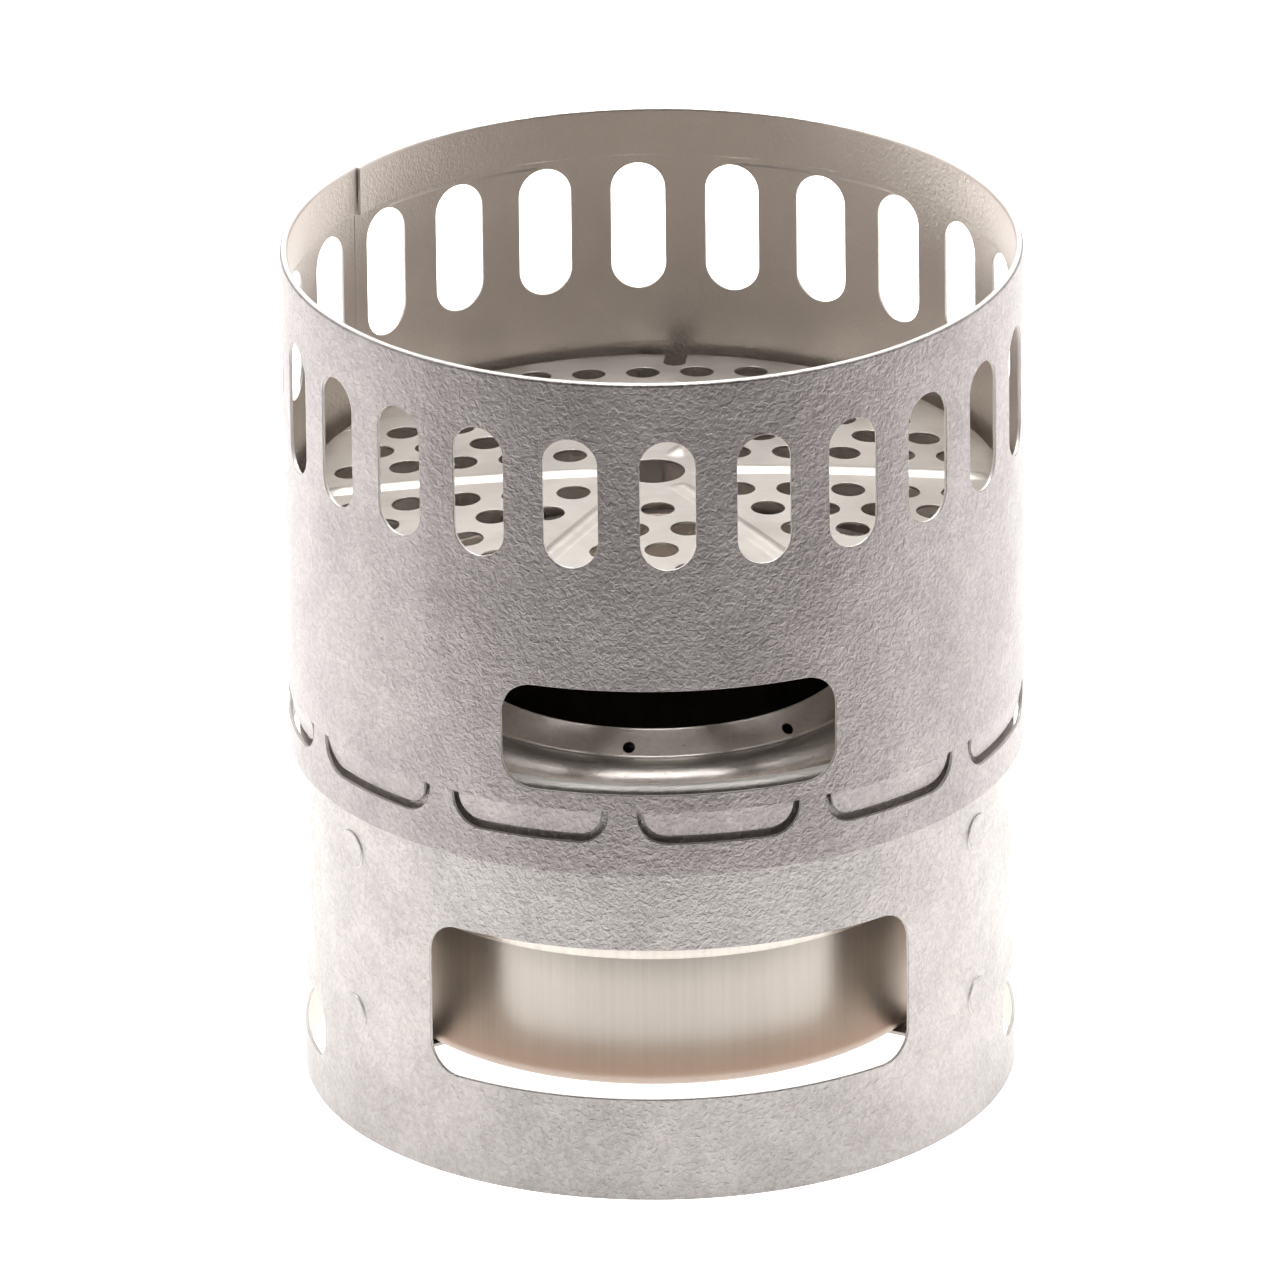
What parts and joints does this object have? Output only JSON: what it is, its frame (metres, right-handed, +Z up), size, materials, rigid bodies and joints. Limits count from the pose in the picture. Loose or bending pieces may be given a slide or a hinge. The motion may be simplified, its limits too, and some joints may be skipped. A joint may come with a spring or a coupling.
{
  "type": "spirit stove",
  "caption": "Telescoping sheet-titanium stove stand: a slotted windscreen over a windowed base shell, with a domed perforated grate and a double-wall spirit burner inside.",
  "frame": {"origin": "on the stove's axis, in the plane of the lower shell's bottom edge", "axes": "+Z up along the axis, -Y towards the window side, +X to the right when facing the windows"},
  "size_m": [0.089, 0.089, 0.1063],
  "materials": {
    "upper_titanium": "bead-blasted titanium, satin",
    "lower_titanium": "bead-blasted titanium, satin",
    "grate_titanium": "smooth pickled titanium sheet",
    "burner_titanium": "drawn titanium, upright drawing streaks",
    "cup_titanium": "drawn titanium, lightly heat-tinted",
    "sleeve_titanium": "plain titanium sheet, dull",
    "bracket_titanium": "plain titanium strip"
  },
  "bodies": {
    "stand": {"lower_shell": "lower_titanium", "burner_bracket_1": "bracket_titanium", "burner_bracket_2": "bracket_titanium", "burner_bracket_3": "bracket_titanium", "burner_bracket_4": "bracket_titanium"},
    "windscreen": {"upper_shell": "upper_titanium"},
    "grate": {"fire_grate": "grate_titanium"},
    "burner": {"burner_cup": "cup_titanium", "burner_jacket": "burner_titanium", "burner_inner_sleeve": "sleeve_titanium"}
  },
  "joints": [
    {"name": "upper_lift", "type": "slide", "parent": "stand", "child": "windscreen", "axis": [0, 0, 1], "range_m": [0, 0.06]},
    {"name": "grate_lift", "type": "slide", "parent": "stand", "child": "grate", "axis": [0, 0, 1], "range_m": [0, 0.058]},
    {"name": "burner_lift", "type": "slide", "parent": "stand", "child": "burner", "axis": [0, 0, 1], "range_m": [0, 0.0445]}
  ],
  "couplings": [
    {"joint": "burner_lift", "follows": "grate_lift", "ratio": 0.76}
  ]
}
